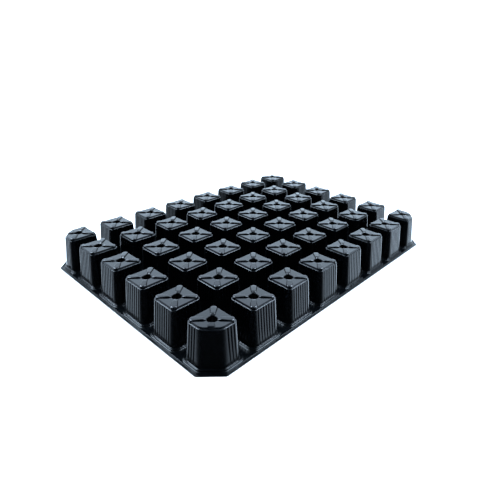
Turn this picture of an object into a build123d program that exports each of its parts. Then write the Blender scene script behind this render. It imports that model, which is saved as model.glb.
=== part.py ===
"""Plug tray: 48 tapered cells on one moulded deck, lying on its rim with the closed ends up.

Origin at the centre of the rim plane, X along the eight-cell side, Y along the six-cell side,
+Z up towards the closed ends of the cells. All sizes in millimetres.
"""

import os
from math import atan2, degrees, radians, sqrt, tan
from string import ascii_lowercase

from build123d import *

os.makedirs("parts", exist_ok=True)

# Whole tray
LENGTH = 400.0          # along X, over the rim
WIDTH = 300.0           # along Y, over the rim
HEIGHT = 43.5           # from the rim plane to the tops of the drain ridges
CELLS_X = 8
CELLS_Y = 6
SHEET = 1.0             # thickness of the moulded sheet

# Deck and rim
WEB = 8.6               # deck between two neighbouring collars
DECK_RISE = 0.4         # underside of the deck above the rim plane, so that the rim bears
CORNER_CUT = 19.2       # leg of the 45 degree cut at each corner of the rim
RIM_EDGE = 1.2          # height of the rim at its outer edge
RIM_CREST = 2.2         # height of the rim's crest line
CREST_INSET = 1.4       # crest line in from the outer edge

# Collar round each mouth
COLLAR_HEIGHT = 2.4     # above the underside of the deck
COLLAR_LEDGE = 1.6      # flat step between the collar's edge and the foot of the wall
COLLAR_RADIUS = 7.0

# Cell wall
DRAFT = 4.85            # degrees
FOOT_RADIUS = 6.0
BASE_RADIUS = 4.0
CUT_RADIUS = 9.0        # soft edges of the cut side on a corner cell

# Closed end of a cell
PAD_STEP = 1.8          # pads above the ledge round them
PAD_INSET = 1.5         # width of that ledge
PAD_RADIUS = 3.0
RIDGE_HEIGHT = 1.4      # drain ridges above the pads
RIDGE_WIDTH = 6.4
RIDGE_END_INSET = 0.6   # ends of the ridges in from the edge of the closed end
DRAIN_RADIUS = 4.6

# Worked out from the above
PITCH_X = LENGTH / CELLS_X
PITCH_Y = WIDTH / CELLS_Y
RIM_WIDTH = WEB / 2
COLLAR_TOP = DECK_RISE + COLLAR_HEIGHT
PAD_TOP = HEIGHT - RIDGE_HEIGHT
LEDGE_TOP = PAD_TOP - PAD_STEP
COLLAR_INSET = WEB / 2
FOOT_INSET = COLLAR_INSET + COLLAR_LEDGE
BASE_INSET = FOOT_INSET + (LEDGE_TOP - COLLAR_TOP) * tan(radians(DRAFT))
PAD_EDGE_INSET = BASE_INSET + PAD_INSET
DIAGONAL = sqrt(PITCH_X ** 2 + PITCH_Y ** 2)
DIAGONAL_ANGLE = degrees(atan2(PITCH_Y, PITCH_X))
MITRE = 2 - sqrt(2)     # how much the leg of a 45 degree cut shrinks for each unit of inset


def cut_leg(inset):
    """Leg of the corner cut on an outline drawn in by inset, so that the cuts stay parallel."""
    return CORNER_CUT - inset * MITRE


def cell_outline(height, inset, radius, corner):
    """Face of a cell's outline at height; corner is the direction of a cut corner, or None."""
    with BuildSketch(Plane.XY.offset(height)) as outline:
        Rectangle(PITCH_X - 2 * inset, PITCH_Y - 2 * inset)
        if corner is None:
            fillet(outline.vertices(), radius)
        else:
            outward = Axis((0, 0, 0), (*corner, 0))
            fillet(outline.vertices().sort_by(outward)[:-1], radius)
            chamfer(outline.vertices().sort_by(outward)[-1], cut_leg(inset))
            fillet(outline.vertices().sort_by(outward)[-2:], CUT_RADIUS)
    return outline.sketch


def corner_direction(row, column):
    """Direction of the tray's corner from a corner cell, or None on any other cell."""
    if row in (0, CELLS_X - 1) and column in (0, CELLS_Y - 1):
        return (1 if row else -1, 1 if column else -1)
    return None


def foot_plate(corner):
    """Square of deck under a collar, which the deck's bars meet face to face."""
    with BuildSketch(Plane.XY.offset(DECK_RISE)) as plate:
        Rectangle(PITCH_X - WEB, PITCH_Y - WEB)
        if corner is not None:
            outward = Axis((0, 0, 0), (*corner, 0))
            chamfer(plate.vertices().sort_by(outward)[-1], cut_leg(COLLAR_INSET))
    return plate.sketch


def ridge_cross(width, end_inset, corner, hub_radius=0):
    """Cross of two bars along the diagonals, ended by the outline of the closed end.

    A round hub is left out of its middle when hub_radius is given.
    """
    with BuildSketch(Plane.XY.offset(LEDGE_TOP - SHEET)) as cross:
        for side in (1, -1):
            Rectangle(DIAGONAL, width, rotation=side * DIAGONAL_ANGLE)
        add(
            cell_outline(0, BASE_INSET + end_inset, BASE_RADIUS - end_inset, corner),
            mode=Mode.INTERSECT,
        )
        if hub_radius:
            Circle(hub_radius, mode=Mode.SUBTRACT)
    return cross.sketch


def build_cell(corner):
    """One cell about the Z axis: square foot, collar, drafted wall and closed end."""
    with BuildPart() as cell:
        # outside
        extrude(foot_plate(corner), amount=SHEET)
        extrude(cell_outline(DECK_RISE, COLLAR_INSET, COLLAR_RADIUS, corner), amount=COLLAR_HEIGHT)
        foot = cell_outline(COLLAR_TOP, FOOT_INSET, FOOT_RADIUS, corner)
        ledge = cell_outline(LEDGE_TOP, BASE_INSET, BASE_RADIUS, corner)
        loft([foot, ledge], ruled=True)
        extrude(cell_outline(LEDGE_TOP, PAD_EDGE_INSET, PAD_RADIUS, corner), amount=PAD_STEP)
        extrude(
            ridge_cross(RIDGE_WIDTH, RIDGE_END_INSET, corner),
            amount=SHEET + PAD_STEP + RIDGE_HEIGHT,
        )

        # inside, one sheet thickness in from the outside
        mouth = cell_outline(DECK_RISE, COLLAR_INSET + SHEET, COLLAR_RADIUS - SHEET, corner)
        extrude(mouth, amount=COLLAR_HEIGHT - SHEET, mode=Mode.SUBTRACT)
        foot = cell_outline(COLLAR_TOP - SHEET, FOOT_INSET + SHEET, FOOT_RADIUS - SHEET, corner)
        end = cell_outline(LEDGE_TOP - SHEET, BASE_INSET + SHEET, BASE_RADIUS - SHEET, corner)
        loft([foot, end], ruled=True, mode=Mode.SUBTRACT)
        pads = cell_outline(LEDGE_TOP - SHEET, PAD_EDGE_INSET + SHEET, PAD_RADIUS - SHEET, corner)
        extrude(pads, amount=PAD_STEP, mode=Mode.SUBTRACT)
        channels = ridge_cross(
            RIDGE_WIDTH - 2 * SHEET, RIDGE_END_INSET + SHEET, corner, DRAIN_RADIUS + SHEET
        )
        extrude(channels, amount=PAD_STEP + RIDGE_HEIGHT, mode=Mode.SUBTRACT)

        # drain hole, through the pads and the ridges, which are solid round it
        with BuildSketch(Plane.XY.offset(LEDGE_TOP - SHEET)):
            Circle(DRAIN_RADIUS)
        extrude(amount=SHEET + PAD_STEP + RIDGE_HEIGHT, mode=Mode.SUBTRACT)
    return cell.part


def rim_bar(middle, along, length):
    """Bar of rim: its crowned section run along one side, with ends mitred to its neighbours."""
    side = Plane(origin=(*middle, 0), x_dir=along, z_dir=(0, 0, 1))
    mitre = RIM_WIDTH * tan(radians(45 / 2))
    with BuildPart() as bar:
        with BuildSketch(side):
            with BuildLine():
                Polyline(
                    (-length / 2, 0),
                    (length / 2, 0),
                    (length / 2 - mitre, RIM_WIDTH),
                    (mitre - length / 2, RIM_WIDTH),
                    close=True,
                )
            make_face()
        extrude(amount=RIM_CREST)
        with BuildSketch(Plane(origin=(*middle, 0), x_dir=side.y_dir, z_dir=along)):
            with BuildLine():
                Polyline(
                    (0, 0),
                    (RIM_WIDTH, 0),
                    (RIM_WIDTH, DECK_RISE + SHEET),
                    (CREST_INSET, RIM_CREST),
                    (0, RIM_EDGE),
                    close=True,
                )
            make_face()
        extrude(amount=length / 2, both=True, mode=Mode.INTERSECT)
    return bar.part


# Cells: letters run along X, numbers along Y
plain_cell = build_cell(None)
for row in range(CELLS_X):
    for column in range(CELLS_Y):
        corner = corner_direction(row, column)
        shape = build_cell(corner) if corner else plain_cell
        x = (row + 0.5) * PITCH_X - LENGTH / 2
        y = (column + 0.5) * PITCH_Y - WIDTH / 2
        cell = shape.moved(Location((x, y, 0)))
        cell.label = f"cell_{ascii_lowercase[row]}{column + 1}"
        export_step(cell, f"parts/{cell.label}.step")

# Deck strips: full-length bars of deck between the lines of cells along X
with BuildPart() as deck_strips:
    with BuildSketch(Plane.XY.offset(DECK_RISE)):
        with GridLocations(0, PITCH_Y, 1, CELLS_Y - 1):
            Rectangle(LENGTH - 2 * RIM_WIDTH, WEB)
    extrude(amount=SHEET)
deck_strips.part.label = "deck_strips"
export_step(deck_strips.part, "parts/deck_strips.step")

# Deck bridges: short bars of deck between neighbouring cells of one line
with BuildPart() as deck_bridges:
    with BuildSketch(Plane.XY.offset(DECK_RISE)):
        with GridLocations(PITCH_X, PITCH_Y, CELLS_X - 1, CELLS_Y):
            Rectangle(WEB, PITCH_Y - WEB)
    extrude(amount=SHEET)
deck_bridges.part.label = "deck_bridges"
export_step(deck_bridges.part, "parts/deck_bridges.step")

# Rim sides: four straight bars of rim, counter-clockwise from the front
for name, middle, along, length in (
    ("rim_front", (0, -WIDTH / 2), (1, 0, 0), LENGTH - 2 * CORNER_CUT),
    ("rim_right", (LENGTH / 2, 0), (0, 1, 0), WIDTH - 2 * CORNER_CUT),
    ("rim_back", (0, WIDTH / 2), (-1, 0, 0), LENGTH - 2 * CORNER_CUT),
    ("rim_left", (-LENGTH / 2, 0), (0, -1, 0), WIDTH - 2 * CORNER_CUT),
):
    side = rim_bar(middle, along, length)
    side.label = name
    export_step(side, f"parts/{name}.step")

# Rim corners: the four short bars across the cut corners
with BuildPart() as rim_corners:
    for x_side, y_side in ((1, -1), (1, 1), (-1, 1), (-1, -1)):
        middle = (x_side * (LENGTH - CORNER_CUT) / 2, y_side * (WIDTH - CORNER_CUT) / 2)
        add(rim_bar(middle, (-y_side, x_side, 0), CORNER_CUT * sqrt(2)))
rim_corners.part.label = "rim_corners"
export_step(rim_corners.part, "parts/rim_corners.step")
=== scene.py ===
"""Looks of the plug tray: fluted cells with drain ridges, the deck that joins them, and the rim."""

from math import cos, pi, radians, sin, sqrt, tan

import bmesh
import bpy
import numpy as np
from mathutils import Matrix, Vector


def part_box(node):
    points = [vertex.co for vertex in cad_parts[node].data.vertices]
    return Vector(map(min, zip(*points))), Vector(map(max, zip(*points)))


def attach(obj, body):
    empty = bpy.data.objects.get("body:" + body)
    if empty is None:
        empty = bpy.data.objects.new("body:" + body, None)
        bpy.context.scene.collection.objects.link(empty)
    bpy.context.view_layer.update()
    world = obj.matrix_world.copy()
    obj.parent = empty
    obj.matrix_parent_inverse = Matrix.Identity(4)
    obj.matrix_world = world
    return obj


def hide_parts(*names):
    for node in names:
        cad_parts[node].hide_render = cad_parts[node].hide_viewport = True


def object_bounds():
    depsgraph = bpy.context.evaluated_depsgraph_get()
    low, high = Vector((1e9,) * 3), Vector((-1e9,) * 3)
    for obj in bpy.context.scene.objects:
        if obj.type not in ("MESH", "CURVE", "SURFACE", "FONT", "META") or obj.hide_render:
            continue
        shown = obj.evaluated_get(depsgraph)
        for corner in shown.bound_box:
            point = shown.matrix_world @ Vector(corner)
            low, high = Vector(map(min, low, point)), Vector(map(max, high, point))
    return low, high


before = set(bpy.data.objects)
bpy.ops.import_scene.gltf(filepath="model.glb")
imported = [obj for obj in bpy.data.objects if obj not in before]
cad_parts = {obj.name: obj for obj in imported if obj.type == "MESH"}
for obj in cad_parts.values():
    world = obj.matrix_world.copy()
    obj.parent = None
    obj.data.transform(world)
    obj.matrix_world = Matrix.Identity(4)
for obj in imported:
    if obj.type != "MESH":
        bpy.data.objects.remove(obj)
cad_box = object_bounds()

MM = 0.001

# Taken from the frame
LOW, HIGH = (np.array(corner) for corner in cad_box)
CELL_NAMES = sorted(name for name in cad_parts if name.startswith("cell_"))
ROWS = sorted({name[-2] for name in CELL_NAMES})
COLUMNS = sorted({name[-1] for name in CELL_NAMES})
PITCH = (HIGH[0] - LOW[0]) / len(ROWS)
INNER_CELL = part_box(f"cell_{ROWS[1]}{COLUMNS[1]}")
DECK_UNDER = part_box("deck_strips")[0][2]
DECK_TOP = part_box("deck_strips")[1][2]
RIM_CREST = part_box("rim_front")[1][2]
TOP = HIGH[2]
SHEET = DECK_TOP - DECK_UNDER
COLLAR_INSET = (PITCH - (INNER_CELL[1][0] - INNER_CELL[0][0])) / 2
CORNER_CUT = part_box("rim_front")[0][0] - LOW[0]

# Collar and wall of a cell
COLLAR_TOP = DECK_TOP + 1.4 * MM
COLLAR_FLARE = 0.5 * MM
COLLAR_ROUND = 0.3 * MM
FOOT_INSET = COLLAR_INSET + 1.6 * MM
FOOT_ROUND = 0.4 * MM
DRAFT = radians(4.85)
LEDGE_ROUND = 0.5 * MM
CUT_RADIUS = 9 * MM

# Closed end of a cell
RIDGE_HEIGHT = 1.4 * MM     # over the pads, where a ridge is highest
RIDGE_HALF_WIDTH = 3.2 * MM
RIDGE_TAPER = 0.58          # width at the drain hole as a share of the width at the far end
PAD_STEP = 1.8 * MM
LEDGE_TOP = TOP - RIDGE_HEIGHT - PAD_STEP
BASE_INSET = FOOT_INSET + (LEDGE_TOP - COLLAR_TOP) * tan(DRAFT)
DRAIN_RADIUS = 4.6 * MM
DRAIN_ROUND = 0.4 * MM
EDGE_MARGIN = 1.01          # so that a column on the edge of a ridge counts as the ridge's
ROUND_STEPS = 4             # rows in the round of a flare, a collar or a ledge

# Shapes of the closed end. Places and rows are distances: places lie across the diagonal, on a
# plain and on a cut corner, and rows lie in from the outline of the ledge.
RIDGE_PLACES = np.array([0.0, 0.8, 1.6, 2.2, 2.5, 2.8, 3.0, 3.2, 3.6]) * MM
CUT_PLACES = np.append(
    RIDGE_PLACES, np.array([4.4, 5.2, 6.0, 7.0, 8.0, 9.0, 10.0, 11.0, 11.5]) * MM
)
END_ROWS = np.array([0.75, 0.82, 1.0, 1.15, 1.25, 1.45, 1.6, 1.9, 2.3]) * MM
HOLE_SHARES = np.array([0.2, 0.45, 0.66, 0.78, 0.9, 1.0])   # rows between the last one and the hole

# Shares of the height: of a pad and a ridge by the distance in from the ledge, of a ridge by the
# distance across it, and of a ridge by the share of the way from the ledge to the hole
PAD_RISE = np.array([[1.15, 0.0], [1.25, 0.08], [1.45, 0.85], [1.6, 0.97], [1.9, 1.0]]) * [MM, 1]
RIDGE_RISE = np.array([
    [0.82, 0.0], [1.0, 0.45], [1.15, 0.7], [1.45, 0.87], [1.9, 0.96], [2.3, 1.0]
]) * [MM, 1]
RIDGE_PROFILE = np.array([
    [2.2, 1.0], [2.5, 0.98], [2.8, 0.88], [3.0, 0.2], [3.2, -0.3], [3.6, 0.0]
]) * [MM, 1]
RIDGE_COURSE = np.array([[0.0, 0.68], [0.78, 1.0], [1.0, 0.3]])

# Brink of the drain hole: share of its rounding, and share of the sheet passed, row by row
BRINK_WIDTHS = np.array([1.0, 0.85, 0.4, 0.0, 0.0])
BRINK_DROPS = np.array([0.0, 0.12, 0.35, 0.6, 1.0])

# Flutes on the flat sides
FLUTES = 7
FLUTE_PITCH = 3.46 * MM
FLUTE_HALF_WIDTH = 0.95 * MM
FLUTE_FLOOR = 0.5           # flat floor as a share of the width
FLUTE_DEPTH_TOP = 1.7 * MM
FLUTE_DEPTH_FOOT = 0.6 * MM
FLUTE_HEAD = 0.85 * MM      # heads of the flutes below the ledge
FLUTE_HEAD_ROUND = 0.55 * MM
FLUTE_FOOT_FADE = 1.5 * MM
SIDE_REACH = 11.6 * MM      # half of a side that holds the flutes
CUT_REACH = -1.8 * MM       # where a side starts to turn towards a cut corner

# Levels of the mesh of a wall: outside, down from the ledge, and inside, down from its underside
WALL_LEVELS = np.array([36.0, 34.0, 28.0, 20.0, 12.0, 6.0, 3.0, 2.0, 1.45, 1.2, 1.05, 0.92]) * MM
INNER_LEVELS = np.array([1.0, 1.5, 2.2, 3.2, 6.0, 14.0, 24.0, 33.0]) * MM

# Corner radius of an outline against its inset from the pitch square
RADIUS_INSETS = np.array([0, 2.4, 3.5, 4.3, 5.9, 9.0, 10.5, 14.0]) * MM
RADII = np.array([0.01, 5.0, 7.8, 7.4, 8.0, 4.3, 3.0, 1.2]) * MM

# Deck: places across the diagonal and along the sides, and rows from the hole to the pitch square
DECK_CORNER = np.array([0.0, 0.7, 1.4, 2.1, 2.8, 3.6]) * MM
DECK_CUT = np.append(DECK_CORNER, np.array([5.0, 6.5, 8.0, 10.0, 11.5]) * MM)
DECK_SIDE = np.linspace(-1, 1, 7) * SIDE_REACH
DECK_HOLE_INSET = COLLAR_INSET - 0.3 * MM
DECK_INSETS = np.array([DECK_HOLE_INSET, 3.0 * MM, 1.6 * MM, 0.0])
DECK_DIP = 0.35 * MM
DECK_DIP_SHARES = np.array([0.0, 0.35, 0.9, 1.0])
DECK_BORDER = 1.2 * MM      # from the tray's outline to the end of the deck inside the rim
MERGE_DISTANCE = 0.01 * MM

# Rim
RIM_CORNER_RADIUS = 3.5 * MM
RIM_CORNER_STEPS = 6

# Materials
PLASTIC_BLACK = (0.0010, 0.0014, 0.0019, 1)
# Lighter colour for rubbed wear and dust, and for a painted highlight along the ledge round and the
# pad edges
PLASTIC_WEAR_DUST_AND_HIGHLIGHT = (0.030, 0.036, 0.042, 1)
ROUGHNESS_SPREAD = (-0.03, 0.05)
DUST_DULLING = 0.3
GRAIN_DEPTH = 0.06 * MM

# Camera: azimuth, dip and roll in degrees, lens and sensor in mm
CAMERA_PLACE = (-0.3690, -0.3635, 0.2590)
CAMERA_TURN = (41.75, 20.94, 1.67)
CAMERA_LENS = 31.92
CAMERA_SENSOR = 36
CAMERA_SHIFT = (-0.0683, -0.0625)

# Studio: azimuths in degrees, and spans of the height of a direction over which a light fades
STUDIO_TINT = (0.80, 1.0, 1.22, 1)
STUDIO_DARK = 0.01
STUDIO_BRIGHT = 2.8
BACK_AZIMUTH = 41.75
BACK_POWER = 2.0
TOP_FADE = (0.80, 0.99)
TOP_SHARE = 0.15
SIDE_REFLECTORS = ((-15, 3.8), (98.5, 1.4))     # azimuth and brightness of each
SIDE_POWER = 14.0
SIDE_TOP_FADE = (0.0, 0.12)
SIDE_FOOT_FADE = (-0.66, -0.5)
WHITE_STRENGTH = 1.2
FLOOR_SIZE = 6.0
FLOOR_GLOW = 0.45

ROOT2 = sqrt(2)
SHARP_ANGLE = radians(42)


# --- outlines -------------------------------------------------------------------------------

def column_layout(cut_quarter, corner_places, side_places):
    """Columns of a cell's mesh, counter-clockwise.

    Quarter k has its corner on the diagonal at 45 + 90 k degrees. corner_places and side_places
    hold distances: across the diagonal, and along the side that follows the corner.
    """
    quarters, on_corner, shares, reaches = [], [], [], np.full(4, SIDE_REACH)
    spans = np.full(4, corner_places[0][-1])
    if cut_quarter is not None:
        reaches[cut_quarter] = CUT_REACH
        spans[cut_quarter] = corner_places[1][-1]
    for quarter in range(4):
        places = corner_places[1 if quarter == cut_quarter else 0]
        start = -reaches[quarter]
        end = reaches[(quarter + 1) % 4]
        side = side_places[(side_places > start) & (side_places < end)]
        quarters += [quarter] * (len(places) + len(side))
        on_corner += [True] * len(places) + [False] * len(side)
        shares += list(places / places[-1]) + list((side - start) / (end - start))
    return {
        "quarter": np.array(quarters),
        "corner": np.array(on_corner),
        "share": np.array(shares),
        "reach": reaches,
        "span": spans,
        "cut": cut_quarter,
    }


def outline(layout, inset, reach, shrink=0.0):
    """Points (row, column, xy) of rounded squares drawn in by inset from the pitch square.

    Across a corner the distance t from the diagonal is shared out, and the distance s along the
    diagonal is that of the arc, r(1 - sqrt 2) + a sqrt 2 - r + sqrt(r^2 - t^2), or of the side,
    a sqrt 2 - |t|. A cut corner has a flat of constant s before its arcs.
    """
    half = PITCH / 2 - inset
    radius = np.interp(inset - shrink, RADIUS_INSETS, RADII) - shrink
    radius = np.repeat(np.maximum(radius, 1e-5)[:, None], 4, axis=1)
    flat = np.zeros_like(radius)
    peak = half[:, None] * ROOT2 - (ROOT2 - 1) * radius
    if layout["cut"] is not None:
        leg = (CORNER_CUT - inset * (2 - ROOT2)) / ROOT2
        soft = np.minimum(CUT_RADIUS - shrink, leg)
        radius[:, layout["cut"]] = soft
        flat[:, layout["cut"]] = leg - soft * tan(pi / 8)
        peak[:, layout["cut"]] = half * ROOT2 - leg
    quarter, share = layout["quarter"], layout["share"]
    half = half[:, None]
    r, t_flat, s_peak = radius[:, quarter], flat[:, quarter], peak[:, quarter]

    t = share * (half - reach[:, quarter]) / ROOT2
    bend = np.clip(np.abs(t) - t_flat, 0, r / ROOT2)
    s = s_peak - r + np.sqrt(r * r - bend * bend)
    s = np.where(np.abs(t) > t_flat + r / ROOT2, half * ROOT2 - np.abs(t), s)
    diagonal = pi / 4 + quarter * pi / 2
    corner = np.stack(
        [s * np.cos(diagonal) - t * np.sin(diagonal), s * np.sin(diagonal) + t * np.cos(diagonal)],
        axis=-1,
    )

    start, end = reach[:, quarter], reach[:, (quarter + 1) % 4]
    along = share * (start + end) - start
    facing = (quarter + 1) * pi / 2
    side = np.stack(
        [
            half * np.cos(facing) - along * np.sin(facing),
            half * np.sin(facing) + along * np.cos(facing),
        ],
        axis=-1,
    )
    return np.where(layout["corner"][None, :, None], corner, side)


def side_reach(layout, rows):
    """Reach of the sides on a wall: the same distance at every level, so flutes stand upright."""
    return np.tile(layout["reach"], (rows, 1))


def ridge_reach(layout, inset, narrow=1.0):
    """Reach of the sides on a closed end, so that the columns run along the drain ridges."""
    return (PITCH / 2 - inset)[:, None] - ROOT2 * narrow * layout["span"][None, :]


def from_diagonal(points):
    """Polar radius, angle from the nearest diagonal, and the direction of that diagonal."""
    radius = np.hypot(points[..., 0], points[..., 1])
    angle = np.arctan2(points[..., 1], points[..., 0])
    diagonal = pi / 4 + np.round((angle - pi / 4) / (pi / 2)) * pi / 2
    return radius, angle - diagonal, diagonal


def hole_circle(points, radius, half_width):
    """Points on a circle that face points on an outline: ridge columns draw in towards the
    diagonal by the taper, and the others share the arc that is left between two ridges."""
    far, offset, diagonal = from_diagonal(points)
    across = far * np.sin(np.abs(offset))
    edge = np.arcsin(RIDGE_TAPER * half_width / radius)
    far_edge = np.arcsin(half_width / far)
    share = (np.abs(offset) - far_edge) / (pi / 4 - far_edge)
    turn = np.where(
        across <= half_width,
        np.arcsin(RIDGE_TAPER * np.minimum(across, half_width) / radius),
        edge + share * (pi / 4 - edge),
    )
    angle = diagonal + np.sign(offset) * turn
    return np.stack([radius * np.cos(angle), radius * np.sin(angle)], axis=-1)


# --- one cell -------------------------------------------------------------------------------

def mirrored(places):
    """Places on both sides of the diagonal."""
    return np.concatenate([-places[:0:-1], places])


def flute_places():
    """Places along a side: the edges and floor of each flute, and the ribs between them."""
    centres = (np.arange(FLUTES) - (FLUTES - 1) / 2) * FLUTE_PITCH
    marks = np.array([-1.0, -FLUTE_FLOOR, FLUTE_FLOOR, 1.0]) * FLUTE_HALF_WIDTH
    ribs = centres[:-1] + FLUTE_PITCH / 2
    return np.sort(np.concatenate([(centres[:, None] + marks).ravel(), ribs]))


def end_height(layout, depth, nearness):
    """Height over the ledge of the closed end: p + (c - p) w.

    p is the height of a pad and c that of a ridge's crest, both by the depth in from the outline
    of the ledge, and w is the section across the ridge. The crest also goes by nearness, which
    runs from 0 at the edge to 1 at the drain hole.
    """
    across = np.abs(layout["share"]) * layout["span"][layout["quarter"]]
    across = np.where(layout["corner"], across, PITCH)
    pad = PAD_STEP * np.interp(depth, PAD_RISE[:, 0], PAD_RISE[:, 1])
    crest = PAD_STEP + RIDGE_HEIGHT * np.interp(nearness, RIDGE_COURSE[:, 0], RIDGE_COURSE[:, 1])
    ridge = crest * np.interp(depth, RIDGE_RISE[:, 0], RIDGE_RISE[:, 1])
    share = np.interp(across, RIDGE_PROFILE[:, 0], RIDGE_PROFILE[:, 1])
    return pad + (ridge - pad) * share


def flute_depth(layout, height):
    """Depth of the flutes: (a + (b - a) w) sqrt(h) f c.

    a and b are the depths at the foot and the top, w is the share of the height of the wall, h
    is the share of the round of the head passed, f fades the flute out at its foot, and c is the
    section across it.
    """
    side = ~layout["corner"]
    start = layout["reach"][layout["quarter"]]
    end = layout["reach"][(layout["quarter"] + 1) % 4]
    along = layout["share"] * (start + end) - start
    place = np.abs((along / FLUTE_PITCH + 0.5) % 1 - 0.5) * FLUTE_PITCH
    cross = np.interp(place, [FLUTE_FLOOR * FLUTE_HALF_WIDTH, FLUTE_HALF_WIDTH], [1.0, 0.0])
    wall = (height - COLLAR_TOP) / (LEDGE_TOP - COLLAR_TOP)
    depth = FLUTE_DEPTH_FOOT + (FLUTE_DEPTH_TOP - FLUTE_DEPTH_FOOT) * wall
    head = np.clip((LEDGE_TOP - FLUTE_HEAD - height) / FLUTE_HEAD_ROUND, 0, 1) ** 0.5
    foot = np.clip((height - COLLAR_TOP - FOOT_ROUND) / FLUTE_FOOT_FADE, 0, 1)
    return (depth * head * foot)[:, None] * (cross * side)


def wall_inset(height):
    """Inset of the drafted wall at a height."""
    return FOOT_INSET + (height - COLLAR_TOP) * tan(DRAFT)


def outer_section():
    """(inset, height) of the outside from the deck to the ledge: flare, collar, wall, round."""
    turn = np.linspace(0, 1, ROUND_STEPS) * pi / 2
    flare = np.stack([
        COLLAR_INSET - COLLAR_FLARE * (1 - np.sin(turn)),
        DECK_TOP + COLLAR_FLARE * (1 - np.cos(turn)),
    ], axis=1)
    collar = np.stack([
        COLLAR_INSET + COLLAR_ROUND * (1 - np.cos(turn)),
        COLLAR_TOP - COLLAR_ROUND * (1 - np.sin(turn)),
    ], axis=1)
    foot = np.array([
        [FOOT_INSET - FOOT_ROUND, COLLAR_TOP],
        [FOOT_INSET - 0.25 * FOOT_ROUND, COLLAR_TOP + 0.25 * FOOT_ROUND],
        [wall_inset(COLLAR_TOP + FOOT_ROUND), COLLAR_TOP + FOOT_ROUND],
    ])
    heights = LEDGE_TOP - WALL_LEVELS
    heights = heights[heights > COLLAR_TOP + 2 * FOOT_ROUND]
    wall = np.stack([wall_inset(heights), heights], axis=1)
    lip = wall_inset(LEDGE_TOP - LEDGE_ROUND)
    rounding = np.stack([
        lip + (BASE_INSET + LEDGE_ROUND - lip) * (1 - np.cos(turn)),
        LEDGE_TOP - LEDGE_ROUND * (1 - np.sin(turn)),
    ], axis=1)
    start = [[COLLAR_INSET - COLLAR_FLARE - 0.05 * MM, DECK_TOP - 0.1 * MM]]
    return np.concatenate([start, flare, collar, foot, wall, rounding])


def inner_section():
    """(inset, height) of the inside from the closed end down to the mouth and under the deck."""
    heights = LEDGE_TOP - SHEET - INNER_LEVELS
    wall = np.stack([wall_inset(heights) + SHEET, heights], axis=1)
    crown = np.array([
        [BASE_INSET + SHEET + 0.45 * MM, LEDGE_TOP - SHEET - 0.05 * MM],
        [BASE_INSET + SHEET + 0.1 * MM, LEDGE_TOP - SHEET - 0.35 * MM],
    ])
    mouth = np.array([
        [FOOT_INSET + SHEET, COLLAR_TOP - SHEET + 0.2 * MM],
        [FOOT_INSET + SHEET - 0.3 * MM, COLLAR_TOP - SHEET],
        [COLLAR_INSET + SHEET + 0.4 * MM, COLLAR_TOP - SHEET],
        [COLLAR_INSET + SHEET, COLLAR_TOP - SHEET - 0.4 * MM],
        [COLLAR_INSET + SHEET - 0.05 * MM, DECK_UNDER + 0.6 * MM],
        [COLLAR_INSET + SHEET - 0.4 * MM, DECK_UNDER + 0.15 * MM],
        [DECK_HOLE_INSET, DECK_UNDER],
    ])
    return np.concatenate([crown, wall, mouth])


def lift(points, height):
    """Adds heights, one for each row or one for each point, to points in the plane."""
    height = np.broadcast_to(np.asarray(height).reshape(len(height), -1), points.shape[:2])
    return np.concatenate([points, height[..., None]], axis=-1)


def wall_rows(layout, section, shrink=0.0):
    """Rows of a wall with its flutes pressed inwards along the direction each side faces."""
    inset, height = section[:, 0], section[:, 1]
    points = outline(layout, inset, side_reach(layout, len(inset)), shrink)
    facing = (layout["quarter"] + 1) * pi / 2
    inwards = -np.stack([np.cos(facing), np.sin(facing)], axis=-1)
    depth = flute_depth(layout, height + shrink)
    return lift(points + depth[..., None] * inwards, height)


def end_rows(layout, shrink=0.0, narrow=1.0):
    """Rows of the closed end from its edge to the drain hole, one sheet lower on the inside."""
    inset = BASE_INSET + shrink + END_ROWS
    edge = outline(layout, inset, ridge_reach(layout, inset, narrow), shrink)
    half_width = narrow * RIDGE_HALF_WIDTH * EDGE_MARGIN
    hole = hole_circle(edge[-1:], DRAIN_RADIUS + DRAIN_ROUND, half_width)
    share = HOLE_SHARES[:, None, None]
    disc = edge[-1:] * (1 - share) + hole * share
    height = np.concatenate([
        end_height(layout, END_ROWS[:, None], 0.0),
        end_height(layout, END_ROWS[-1], share[..., 0]),
    ])
    return lift(np.concatenate([edge, disc]), LEDGE_TOP - shrink + height)


def hole_rows(brink):
    """Rows of the drain hole's wall: rounded at the brink, then straight through the sheet."""
    radius = BRINK_WIDTHS * DRAIN_ROUND + DRAIN_RADIUS
    drop = BRINK_DROPS[:, None] * SHEET
    angle = np.arctan2(brink[:, 1], brink[:, 0])
    ring = np.stack([radius[:, None] * np.cos(angle), radius[:, None] * np.sin(angle)], axis=-1)
    return lift(ring, brink[:, 2] - drop)


def cell_surface(cut_quarter):
    """Grid of one cell, a closed shell, with its edge mask: rows run up the outside, over the
    closed end, down through the drain hole and back down the inside; columns run round it."""
    layout = column_layout(
        cut_quarter, (mirrored(RIDGE_PLACES), mirrored(CUT_PLACES)), flute_places()
    )
    narrow = (RIDGE_HALF_WIDTH - SHEET) / RIDGE_HALF_WIDTH
    outside = wall_rows(layout, outer_section())
    end = end_rows(layout)
    hole = hole_rows(end[-1])
    under_end = end_rows(layout, SHEET, narrow)[:1:-1]      # without its two outer rows
    inside = wall_rows(layout, inner_section(), SHEET)
    rows = np.concatenate([outside, end, hole[1:], under_end, inside])
    edge = np.zeros(len(rows))
    first = len(outside)
    # Lightened rows: rubbed wear with a painted highlight on the round of the ledge and the edges
    # of the pads
    edge[first - 3:first] = 1.0         # round of the ledge
    edge[first + 2:first + 8] = 0.6     # edges of the pads
    return rows, np.repeat(edge[:, None], rows.shape[1], axis=1)


# --- meshes ---------------------------------------------------------------------------------

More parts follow.
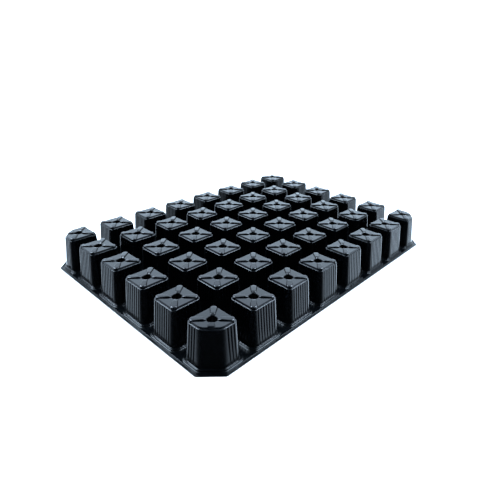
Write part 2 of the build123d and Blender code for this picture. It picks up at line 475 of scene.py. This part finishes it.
def grid_faces(rows, columns, wrap_rows=True):
    """Quads of a grid that closes round its columns, and over its rows when wrap_rows."""
    row = np.arange(rows if wrap_rows else rows - 1)[:, None]
    column = np.arange(columns)[None, :]
    next_row = (row + 1) % rows
    next_column = (column + 1) % columns
    corners = [row * columns + column, row * columns + next_column,
               next_row * columns + next_column, next_row * columns + column]
    return np.stack([c.ravel() for c in corners], axis=1)


def make_piece(name, points, faces, edge, material, stands_for):
    """A mesh object of the tray from points, lists of corners and an edge mask."""
    mesh = bpy.data.meshes.new(name)
    mesh.from_pydata(points.tolist(), [], faces)
    mask = mesh.attributes.new("edge", "FLOAT", "POINT")
    mask.data.foreach_set("value", edge.astype(np.float32))
    mesh.polygons.foreach_set("use_smooth", np.ones(len(mesh.polygons), bool))
    mesh.materials.append(material)
    mesh.update()
    mesh.set_sharp_from_angle(angle=SHARP_ANGLE)
    piece = bpy.data.objects.new(name, mesh)
    bpy.context.scene.collection.objects.link(piece)
    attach(piece, "root")
    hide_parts(*stands_for)


def corner_quarter(row, column):
    """Quarter of a corner cell that the tray's corner cuts, or None."""
    if row not in (0, len(ROWS) - 1) or column not in (0, len(COLUMNS) - 1):
        return None
    return {(True, True): 0, (False, True): 1, (False, False): 2, (True, False): 3}[
        (row > 0, column > 0)
    ]


def cell_centre(row, column):
    """Centre of a cell at the rim plane."""
    return np.array([LOW[0] + (row + 0.5) * PITCH, LOW[1] + (column + 0.5) * PITCH, 0.0])


def build_cells(material):
    """All the cells: one surface for the plain cells and one for each corner cell."""
    surfaces = {}
    for row, letter in enumerate(ROWS):
        for column, number in enumerate(COLUMNS):
            quarter = corner_quarter(row, column)
            if quarter not in surfaces:
                surfaces[quarter] = cell_surface(quarter)
            surface, edge = surfaces[quarter]
            points = surface + cell_centre(row, column)
            make_piece(
                f"{letter}{number}_cell_shell",
                points.reshape(-1, 3),
                grid_faces(*surface.shape[:2]).tolist(),
                edge.ravel(),
                material,
                [f"cell_{letter}{number}"],
            )


def deck_part(row, column):
    """Rows of the deck round one cell, from its hole out to the pitch square. It dips a little
    between the collars, and runs a short way into the rim."""
    layout = column_layout(
        corner_quarter(row, column), (mirrored(DECK_CORNER), mirrored(DECK_CUT)), DECK_SIDE
    )
    rows = outline(layout, DECK_INSETS, side_reach(layout, len(DECK_INSETS)))
    centre = cell_centre(row, column)
    upper = lift(rows, DECK_TOP - DECK_DIP * DECK_DIP_SHARES) + centre
    lower = lift(rows[[-1, 0]], np.full(2, DECK_UNDER)) + centre
    sheet = np.concatenate([upper, lower])
    limit = HIGH - DECK_BORDER
    flat = np.clip(sheet[..., :2], -limit[:2], limit[:2])
    beyond = np.abs(flat).sum(axis=-1) - (HIGH[:2].sum() - CORNER_CUT - DECK_BORDER * ROOT2)
    flat -= np.sign(flat) * np.maximum(beyond, 0)[..., None] / 2
    sheet[..., :2] = flat
    return sheet


def build_deck(material):
    """The deck: one sheet with a hole under each cell, joined along the pitch squares."""
    mesh = bpy.data.meshes.new("deck_join")
    upper = len(DECK_INSETS)
    points, faces, count = [], [], 0
    for row in range(len(ROWS)):
        for column in range(len(COLUMNS)):
            part = deck_part(row, column)
            columns = part.shape[1]
            top = grid_faces(upper, columns, wrap_rows=False)
            under = grid_faces(2, columns, wrap_rows=False) + upper * columns
            wall = grid_faces(2, columns, wrap_rows=False)
            wall = np.where(wall < columns, wall + (upper + 1) * columns, wall - columns)
            points.append(part.reshape(-1, 3))
            faces.append(np.concatenate([top, under, wall]) + count)
            count += points[-1].shape[0]
    mesh.from_pydata(np.concatenate(points).tolist(), [], np.concatenate(faces).tolist())
    joined = bmesh.new()
    joined.from_mesh(mesh)
    bmesh.ops.remove_doubles(joined, verts=joined.verts, dist=MERGE_DISTANCE)
    border = [e for e in joined.edges if e.is_boundary]
    bmesh.ops.bridge_loops(joined, edges=border)
    bmesh.ops.recalc_face_normals(joined, faces=joined.faces)
    joined.to_mesh(mesh)
    joined.free()
    places = np.empty(len(mesh.vertices) * 3)
    mesh.vertices.foreach_get("co", places)
    polygons = [list(p.vertices) for p in mesh.polygons]
    bpy.data.meshes.remove(mesh)
    make_piece(
        "deck",
        places.reshape(-1, 3),
        polygons,
        np.zeros(len(places) // 3),
        material,
        ["deck_strips", "deck_bridges"],
    )


def rim_section():
    """(inset, height) of the rim: trimmed edge that leans out a little, gutter, crest and
    flange, and its hollow underside."""
    crest, deck = RIM_CREST / MM, DECK_TOP / MM
    return np.array([
        [0.25, 0.0],
        [0.12, 0.6],
        [0.0, 1.15],
        [0.08, 1.26],
        [0.3, 1.28],
        [1.1, 1.24],
        [1.45, 1.32],
        [1.6, crest - 0.2],
        [1.72, crest - 0.06],
        [1.95, crest],
        [2.15, crest - 0.04],
        [2.4, crest - 0.25],
        [2.75, deck + 0.05],
        [3.3, deck - 0.05],
        [5.0, deck - 0.2],
        [5.0, DECK_UNDER / MM + 0.05],
        [4.2, DECK_UNDER / MM],
        [4.0, 0.0],
    ]) * MM


def tray_outline(inset):
    """Corners of the tray's outline drawn in by inset, counter-clockwise, two for each cut."""
    x, y = HIGH[0] - inset, HIGH[1] - inset
    leg = CORNER_CUT - inset * (2 - ROOT2)
    quarter = np.array([[x, y - leg], [x - leg, y]])
    return np.concatenate([
        quarter, (quarter * [-1, 1])[::-1], quarter * [-1, -1], (quarter * [1, -1])[::-1]
    ])


def rounded_path(corners, radius, steps):
    """Closed path with each 45 degree corner a, m, b rounded: a(1 - t)^2 + 2mt(1 - t) + bt^2."""
    before = np.roll(corners, 1, axis=0) - corners
    after = np.roll(corners, -1, axis=0) - corners
    before /= np.linalg.norm(before, axis=1)[:, None]
    after /= np.linalg.norm(after, axis=1)[:, None]
    tangent = radius * tan(pi / 8)
    share = np.linspace(0, 1, steps)[None, :, None]
    start = (corners + before * tangent)[:, None]
    end = (corners + after * tangent)[:, None]
    middle = corners[:, None]
    path = start * (1 - share) ** 2 + 2 * middle * share * (1 - share) + end * share ** 2
    return path.reshape(-1, 2)


def build_rim(material):
    """The rim: its section carried round the cut rectangle, mitred by drawing the path in."""
    rows = []
    for inset, height in rim_section():
        path = rounded_path(tray_outline(inset), RIM_CORNER_RADIUS, RIM_CORNER_STEPS)
        rows.append(np.column_stack([path, np.full(len(path), height)]))
    rows = np.array(rows)
    make_piece(
        "rim",
        rows.reshape(-1, 3),
        grid_faces(*rows.shape[:2]).tolist(),
        np.zeros(rows[..., 0].size),
        material,
        ["rim_front", "rim_right", "rim_back", "rim_left", "rim_corners"],
    )


# --- materials ------------------------------------------------------------------------------

def new_group(name, inputs, outputs):
    """A shader node group with named sockets; returns the group and its two end nodes."""
    group = bpy.data.node_groups.new(name, "ShaderNodeTree")
    for kind, socket, value in inputs:
        made = group.interface.new_socket(socket, in_out="INPUT", socket_type=kind)
        if value is not None:
            made.default_value = value
    for kind, socket in outputs:
        group.interface.new_socket(socket, in_out="OUTPUT", socket_type=kind)
    return group, group.nodes.new("NodeGroupInput"), group.nodes.new("NodeGroupOutput")


def add_node(tree, kind, **settings):
    """A node with its properties set."""
    node = tree.nodes.new(kind)
    for key, value in settings.items():
        setattr(node, key, value)
    return node


def noise_on(tree, vector, scale, detail, distortion=0.0):
    """A noise texture on a vector."""
    noise = add_node(tree, "ShaderNodeTexNoise")
    noise.inputs["Scale"].default_value = scale
    noise.inputs["Detail"].default_value = detail
    noise.inputs["Distortion"].default_value = distortion
    tree.links.new(vector, noise.inputs["Vector"])
    return noise.outputs["Fac"]


def remap(tree, value, taken, given):
    """A Map Range node: the span taken in becomes the span given out, and it is held there."""
    node = add_node(tree, "ShaderNodeMapRange", clamp=True)
    for socket, number in zip(("From Min", "From Max", "To Min", "To Max"), taken + given):
        node.inputs[socket].default_value = number
    tree.links.new(value, node.inputs["Value"])
    return node.outputs["Result"]


def math_on(tree, operation, first, second):
    """A Math node; second is a socket or a number."""
    node = add_node(tree, "ShaderNodeMath", operation=operation)
    tree.links.new(first, node.inputs[0])
    if isinstance(second, (int, float)):
        node.inputs[1].default_value = second
    else:
        tree.links.new(second, node.inputs[1])
    return node.outputs[0]


def moulding_grain_group():
    """Height of the moulded skin, slow waves of the drawn sheet and a fine pebble, and a mask
    of large patches."""
    group, inlet, outlet = new_group(
        "moulding_grain",
        [("NodeSocketVector", "Position", None), ("NodeSocketFloat", "Wave", 0.5),
         ("NodeSocketFloat", "Pebble", 0.5)],
        [("NodeSocketFloat", "Height"), ("NodeSocketFloat", "Patches")],
    )
    place = inlet.outputs["Position"]
    wave = noise_on(group, place, scale=90, detail=2, distortion=0.4)
    pebble = noise_on(group, place, scale=1400, detail=2)
    slow = math_on(group, "MULTIPLY", wave, inlet.outputs["Wave"])
    fine = math_on(group, "MULTIPLY", pebble, inlet.outputs["Pebble"])
    height = math_on(group, "ADD", slow, fine)
    patches = noise_on(group, place, scale=35, detail=4, distortion=0.8)
    group.links.new(height, outlet.inputs["Height"])
    group.links.new(patches, outlet.inputs["Patches"])
    return group


def edge_wear_and_highlight_group():
    """Mask of the rubbed edges with a painted highlight on them: the edge attribute broken up by
    noise.
    """
    group, inlet, outlet = new_group(
        "edge_wear_and_highlight",
        [("NodeSocketVector", "Position", None), ("NodeSocketFloat", "Edge", 0.0),
         ("NodeSocketFloat", "Amount", 0.5)],
        [("NodeSocketFloat", "Mask")],
    )
    flecks = noise_on(group, inlet.outputs["Position"], scale=320, detail=5)
    broken = remap(group, flecks, (0.35, 0.7), (0.25, 1.0))
    worn_and_highlit = math_on(group, "MULTIPLY", inlet.outputs["Edge"], broken)
    mask = math_on(group, "MULTIPLY", worn_and_highlit, inlet.outputs["Amount"])
    group.links.new(mask, outlet.inputs["Mask"])
    return group


def dust_group():
    """Mask of fine dust on what faces up, in soft blotches with a few specks."""
    group, inlet, outlet = new_group(
        "bench_dust",
        [("NodeSocketVector", "Position", None), ("NodeSocketVector", "Normal", None),
         ("NodeSocketFloat", "Amount", 0.5)],
        [("NodeSocketFloat", "Mask")],
    )
    split = add_node(group, "ShaderNodeSeparateXYZ")
    group.links.new(inlet.outputs["Normal"], split.inputs[0])
    level = remap(group, split.outputs["Z"], (0.7, 0.98), (0.0, 1.0))
    slow = noise_on(group, inlet.outputs["Position"], scale=60, detail=6)
    blotches = remap(group, slow, (0.42, 0.7), (0.15, 1.0))
    fine = noise_on(group, inlet.outputs["Position"], scale=2600, detail=1)
    specks = remap(group, fine, (0.68, 0.76), (0.0, 1.0))
    both = math_on(group, "ADD", blotches, specks)
    lying = math_on(group, "MULTIPLY", both, level)
    mask = math_on(group, "MULTIPLY", lying, inlet.outputs["Amount"])
    group.links.new(mask, outlet.inputs["Mask"])
    return group


def black_plastic(name, groups, ior, roughness, wave, pebble, wear_and_highlight, dust):
    """Black moulded sheet: glossy skin with moulding grain, rubbed edges with a painted highlight
    on them, and a little dust.
    """
    material = bpy.data.materials.new(name)
    material.use_nodes = True
    tree = material.node_tree
    shader = tree.nodes["Principled BSDF"]
    shader.inputs["IOR"].default_value = ior
    place = add_node(tree, "ShaderNodeTexCoord").outputs["Object"]
    grain = add_node(tree, "ShaderNodeGroup", node_tree=groups["grain"])
    grain.inputs["Wave"].default_value = wave
    grain.inputs["Pebble"].default_value = pebble
    tree.links.new(place, grain.inputs["Position"])
    # Edge mask: rubbed wear and a painted highlight on the ledge round and the pad edges
    edge = add_node(tree, "ShaderNodeAttribute", attribute_name="edge")
    rubbed_and_highlit = add_node(tree, "ShaderNodeGroup", node_tree=groups["wear_and_highlight"])
    rubbed_and_highlit.inputs["Amount"].default_value = wear_and_highlight
    tree.links.new(place, rubbed_and_highlit.inputs["Position"])
    tree.links.new(edge.outputs["Fac"], rubbed_and_highlit.inputs["Edge"])
    facing = add_node(tree, "ShaderNodeNewGeometry")
    settled = add_node(tree, "ShaderNodeGroup", node_tree=groups["dust"])
    settled.inputs["Amount"].default_value = dust
    tree.links.new(place, settled.inputs["Position"])
    tree.links.new(facing.outputs["Normal"], settled.inputs["Normal"])

    # Base colour lightened by wear and dust, and by the painted highlight on the edges
    lighter = math_on(tree, "ADD", rubbed_and_highlit.outputs["Mask"], settled.outputs["Mask"])
    colour = add_node(tree, "ShaderNodeMix", data_type="RGBA", clamp_factor=True)
    colour.inputs["A"].default_value = PLASTIC_BLACK
    colour.inputs["B"].default_value = PLASTIC_WEAR_DUST_AND_HIGHLIGHT
    tree.links.new(lighter, colour.inputs["Factor"])
    tree.links.new(colour.outputs["Result"], shader.inputs["Base Color"])
    span = tuple(roughness + change for change in ROUGHNESS_SPREAD)
    rough = remap(tree, grain.outputs["Patches"], (0.3, 0.7), span)
    duller = math_on(tree, "MULTIPLY", settled.outputs["Mask"], DUST_DULLING)
    tree.links.new(math_on(tree, "ADD", rough, duller), shader.inputs["Roughness"])
    bump = add_node(tree, "ShaderNodeBump")
    bump.inputs["Distance"].default_value = GRAIN_DEPTH
    bump.inputs["Strength"].default_value = 1.0
    tree.links.new(grain.outputs["Height"], bump.inputs["Height"])
    tree.links.new(bump.outputs["Normal"], shader.inputs["Normal"])
    return material


# --- camera, light and floor ----------------------------------------------------------------

def add_camera():
    """The camera: its lens, its place, where it looks and how it is rolled."""
    data = bpy.data.cameras.new("camera")
    data.sensor_width = CAMERA_SENSOR
    data.lens = CAMERA_LENS
    data.shift_x, data.shift_y = CAMERA_SHIFT
    data.clip_start = 0.01
    camera = bpy.data.objects.new("camera", data)
    azimuth, dip, roll = (radians(angle) for angle in CAMERA_TURN)
    look = Vector((cos(dip) * cos(azimuth), cos(dip) * sin(azimuth), -sin(dip)))
    level = look.cross(Vector((0, 0, 1))).normalized()
    upright = level.cross(look)
    right = level * cos(roll) + upright * sin(roll)
    up = upright * cos(roll) - level * sin(roll)
    camera.matrix_world = Matrix((
        (right.x, up.x, -look.x, CAMERA_PLACE[0]),
        (right.y, up.y, -look.y, CAMERA_PLACE[1]),
        (right.z, up.z, -look.z, CAMERA_PLACE[2]),
        (0, 0, 0, 1),
    ))
    bpy.context.scene.collection.objects.link(camera)
    bpy.context.scene.camera = camera


def lobe_on(tree, level, azimuth, power):
    """Brightness round an azimuth in degrees: ((1 + cos of the angle from it) / 2) to a power."""
    towards = add_node(tree, "ShaderNodeVectorMath", operation="DOT_PRODUCT")
    towards.inputs[1].default_value = (cos(radians(azimuth)), sin(radians(azimuth)), 0)
    tree.links.new(level, towards.inputs[0])
    share = remap(tree, towards.outputs["Value"], (-1, 1), (0, 1))
    return math_on(tree, "POWER", share, power)


def studio_world():
    """Soft studio surround: bright behind the tray and dark in front of it, with two low
    reflectors at its sides."""
    world = bpy.data.worlds.new("studio")
    world.use_nodes = True
    tree = world.node_tree
    tree.nodes.clear()
    place = add_node(tree, "ShaderNodeTexCoord").outputs["Generated"]
    level = add_node(tree, "ShaderNodeVectorMath", operation="MULTIPLY")
    level.inputs[1].default_value = (1, 1, 0)
    tree.links.new(place, level.inputs[0])
    unit = add_node(tree, "ShaderNodeVectorMath", operation="NORMALIZE")
    tree.links.new(level.outputs["Vector"], unit.inputs[0])
    split = add_node(tree, "ShaderNodeSeparateXYZ")
    tree.links.new(place, split.inputs[0])
    below_top = remap(tree, split.outputs["Z"], TOP_FADE, (1.0, TOP_SHARE))
    back = lobe_on(tree, unit.outputs["Vector"], BACK_AZIMUTH, BACK_POWER)
    strength = math_on(tree, "MULTIPLY", math_on(tree, "MULTIPLY", back, below_top), STUDIO_BRIGHT)
    near_floor = math_on(
        tree, "MULTIPLY",
        remap(tree, split.outputs["Z"], SIDE_TOP_FADE, (1.0, 0.0)),
        remap(tree, split.outputs["Z"], SIDE_FOOT_FADE, (0.0, 1.0)),
    )
    for azimuth, bright in SIDE_REFLECTORS:
        side = lobe_on(tree, unit.outputs["Vector"], azimuth, SIDE_POWER)
        side = math_on(tree, "MULTIPLY", math_on(tree, "MULTIPLY", side, near_floor), bright)
        strength = math_on(tree, "ADD", strength, side)
    tinted = add_node(tree, "ShaderNodeBackground")
    tinted.inputs["Color"].default_value = STUDIO_TINT
    tree.links.new(math_on(tree, "ADD", strength, STUDIO_DARK), tinted.inputs["Strength"])
    white = add_node(tree, "ShaderNodeBackground")
    white.inputs["Color"].default_value = (1, 1, 1, 1)
    white.inputs["Strength"].default_value = WHITE_STRENGTH
    seen = add_node(tree, "ShaderNodeLightPath").outputs["Is Camera Ray"]
    mix = add_node(tree, "ShaderNodeMixShader")
    tree.links.new(seen, mix.inputs["Fac"])
    tree.links.new(tinted.outputs[0], mix.inputs[1])
    tree.links.new(white.outputs[0], mix.inputs[2])
    tree.links.new(mix.outputs[0], add_node(tree, "ShaderNodeOutputWorld").inputs["Surface"])
    bpy.context.scene.world = world


def add_floor():
    """Plain pale floor that glows a little and isn't seen in gloss."""
    mesh = bpy.data.meshes.new("floor")
    corners = [(-1, -1), (1, -1), (1, 1), (-1, 1)]
    mesh.from_pydata([(x * FLOOR_SIZE, y * FLOOR_SIZE, 0) for x, y in corners], [], [(0, 1, 2, 3)])
    material = bpy.data.materials.new("pale_floor")
    material.use_nodes = True
    shader = material.node_tree.nodes["Principled BSDF"]
    shader.inputs["Base Color"].default_value = (0.9, 0.9, 0.9, 1)
    shader.inputs["Roughness"].default_value = 0.9
    shader.inputs["Specular IOR Level"].default_value = 0.0
    shader.inputs["Emission Color"].default_value = (1, 1, 1, 1)
    shader.inputs["Emission Strength"].default_value = FLOOR_GLOW
    mesh.materials.append(material)
    floor = bpy.data.objects.new("floor", mesh)
    floor.location.z = LOW[2]
    floor.visible_glossy = False
    bpy.context.scene.collection.objects.link(floor)


def add_lamp(name, azimuth, elevation, distance, size, energy, in_gloss):
    """A square soft lamp turned to the tray, which acts either in gloss or in diffuse light;
    azimuth and elevation are in degrees."""
    lamp = bpy.data.lights.new(name, "AREA")
    lamp.size = size
    lamp.energy = energy
    lamp.color = STUDIO_TINT[:3]
    piece = bpy.data.objects.new(name, lamp)
    turn, rise = radians(azimuth), radians(elevation)
    away = Vector((cos(rise) * cos(turn), cos(rise) * sin(turn), sin(rise)))
    piece.location = away * distance
    piece.rotation_euler = away.to_track_quat("Z", "Y").to_euler()
    piece.visible_glossy = in_gloss
    piece.visible_diffuse = not in_gloss
    bpy.context.scene.collection.objects.link(piece)


node_groups = {
    "grain": moulding_grain_group(),
    "wear_and_highlight": edge_wear_and_highlight_group(),
    "dust": dust_group(),
}
# Each plastic's edge amount sets rubbed wear and a painted highlight on its edges
cell_plastic = black_plastic(
    "cell_plastic", node_groups,
    ior=1.36, roughness=0.16, wave=0.6, pebble=0.25, wear_and_highlight=0.25, dust=0.04,
)
deck_plastic = black_plastic(
    "deck_plastic", node_groups,
    ior=1.27, roughness=0.15, wave=0.9, pebble=0.3, wear_and_highlight=0.3, dust=0.04,
)

build_cells(cell_plastic)
build_deck(deck_plastic)
build_rim(deck_plastic)
add_floor()
add_lamp(
    "overhead", azimuth=45, elevation=80, distance=2.2, size=3.0, energy=120, in_gloss=False
)
for side, turned, raised in (("left", 112, 50), ("right", -18, 57)):
    add_lamp(f"{side}_softbox", turned, raised, distance=2.0, size=0.9, energy=70, in_gloss=True)
add_camera()
studio_world()
bpy.context.scene.view_settings.view_transform = "Standard"
